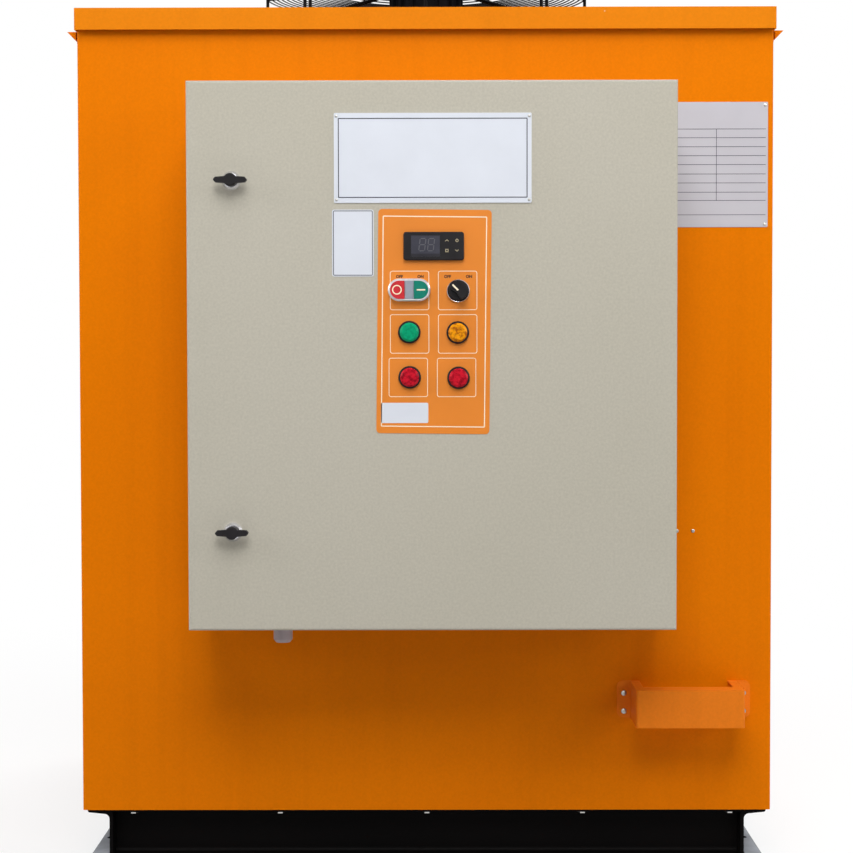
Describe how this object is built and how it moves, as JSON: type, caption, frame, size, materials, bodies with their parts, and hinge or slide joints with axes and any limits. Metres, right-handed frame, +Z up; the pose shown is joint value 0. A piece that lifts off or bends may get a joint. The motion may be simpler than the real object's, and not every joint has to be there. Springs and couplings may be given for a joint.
{
  "type": "air-cooled packaged water chiller",
  "caption": "Orange sheet-metal water chiller on a black channel base, with a grey electrical enclosure on its front, side coils and a caged axial fan on its roof.",
  "frame": {"origin": "on the ground at the centre of the four anchor holes in the base frame", "axes": "+X to the viewer's right, +Y from the enclosure into the machine, +Z up"},
  "size_m": [0.984, 1.1815, 1.291],
  "materials": {
    "orange_paint": "powder coat, semi-gloss",
    "black_paint": "black enamel on rolled steel",
    "grey_paint": "pebble grey powder coat",
    "galvanised_steel": "galvanised sheet",
    "zinc_plated": "zinc plated",
    "coil_fins": "close aluminium fins",
    "fan_black": "black",
    "guard_wire": "black coated wire",
    "black_rubber": "foam strip",
    "black_plastic": "moulded",
    "grey_plastic": "translucent moulded",
    "silver_plastic": "satin silver",
    "chrome_trim": "polished",
    "red_button": "moulded",
    "green_button": "moulded",
    "green_lens": "clear coloured",
    "amber_lens": "clear coloured",
    "red_lens": "clear coloured",
    "brass_fitting": "machined"
  },
  "bodies": {
    "chiller": {"base_channel_front": "black_paint", "base_channel_left": "black_paint", "base_channel_rear": "black_paint", "base_channel_right": "black_paint", "cable_ducts": "grey_plastic", "cable_gland": "grey_plastic", "enclosure_body": "grey_paint", "fan_guard_cage": "guard_wire", "fan_guard_grille": "guard_wire", "fan_motor": "fan_black", "fan_ring": "fan_black", "floor_tray": "orange_paint", "folded_bracket": "orange_paint", "front_panel": "orange_paint", "hinge_brackets": "zinc_plated", "left_coil_frame": "galvanised_steel", "left_condenser_coil": "coil_fins", "left_rain_hood": "orange_paint", "left_side_panel": "orange_paint", "mounting_plate": "galvanised_steel", "plenum_deck": "galvanised_steel", "rear_panel": "orange_paint", "right_coil_frame": "galvanised_steel", "right_condenser_coil": "coil_fins", "right_rain_hood": "orange_paint", "right_side_panel": "orange_paint", "roof_cap": "orange_paint", "switchgear": "grey_plastic", "water_inlet_socket": "brass_fitting", "water_outlet_socket": "brass_fitting"},
    "fan": {"fan_rotor": "fan_black"},
    "door": {"enclosure_door": "grey_paint", "door_gasket": "black_rubber", "hinge_knuckles": "zinc_plated", "upper_lock_rosette": "chrome_trim", "lower_lock_rosette": "chrome_trim", "temperature_controller": "black_plastic", "twin_button_body": "silver_plastic", "selector_body": "black_plastic", "pilot_bodies": "black_plastic", "pilot_lens_green": "green_lens", "pilot_lens_amber": "amber_lens", "pilot_lenses_red": "red_lens"},
    "upper_lock": {"upper_wing_knob": "black_plastic"},
    "lower_lock": {"lower_wing_knob": "black_plastic"},
    "stop": {"stop_button": "red_button"},
    "start": {"start_button": "green_button"},
    "selector": {"selector_knob": "black_plastic"}
  },
  "joints": [
    {"name": "fan_spin", "type": "hinge", "parent": "chiller", "child": "fan", "pos_m": [0, 0, 1.18], "axis": [0, 0, 1], "continuous": true},
    {"name": "door_hinge", "type": "hinge", "parent": "chiller", "child": "door", "pos_m": [0.309, -0.66, 0.705], "axis": [0, 0, 1], "range_deg": [0, 105]},
    {"name": "upper_lock_turn", "type": "hinge", "parent": "door", "child": "upper_lock", "pos_m": [-0.2455, -0.67, 0.9285], "axis": [0, -1, 0], "range_deg": [0, 90]},
    {"name": "lower_lock_turn", "type": "hinge", "parent": "door", "child": "lower_lock", "pos_m": [-0.2455, -0.67, 0.4815], "axis": [0, -1, 0], "range_deg": [0, 90]},
    {"name": "selector_turn", "type": "hinge", "parent": "door", "child": "selector", "pos_m": [0.0424, -0.67, 0.7884], "axis": [0, 1, 0], "range_deg": [0, 90]},
    {"name": "stop_press", "type": "slide", "parent": "door", "child": "stop", "axis": [0, 1, 0], "range_m": [0, 0.003], "stiffness_N_per_m": 400},
    {"name": "start_press", "type": "slide", "parent": "door", "child": "start", "axis": [0, 1, 0], "range_m": [0, 0.003], "stiffness_N_per_m": 400}
  ]
}
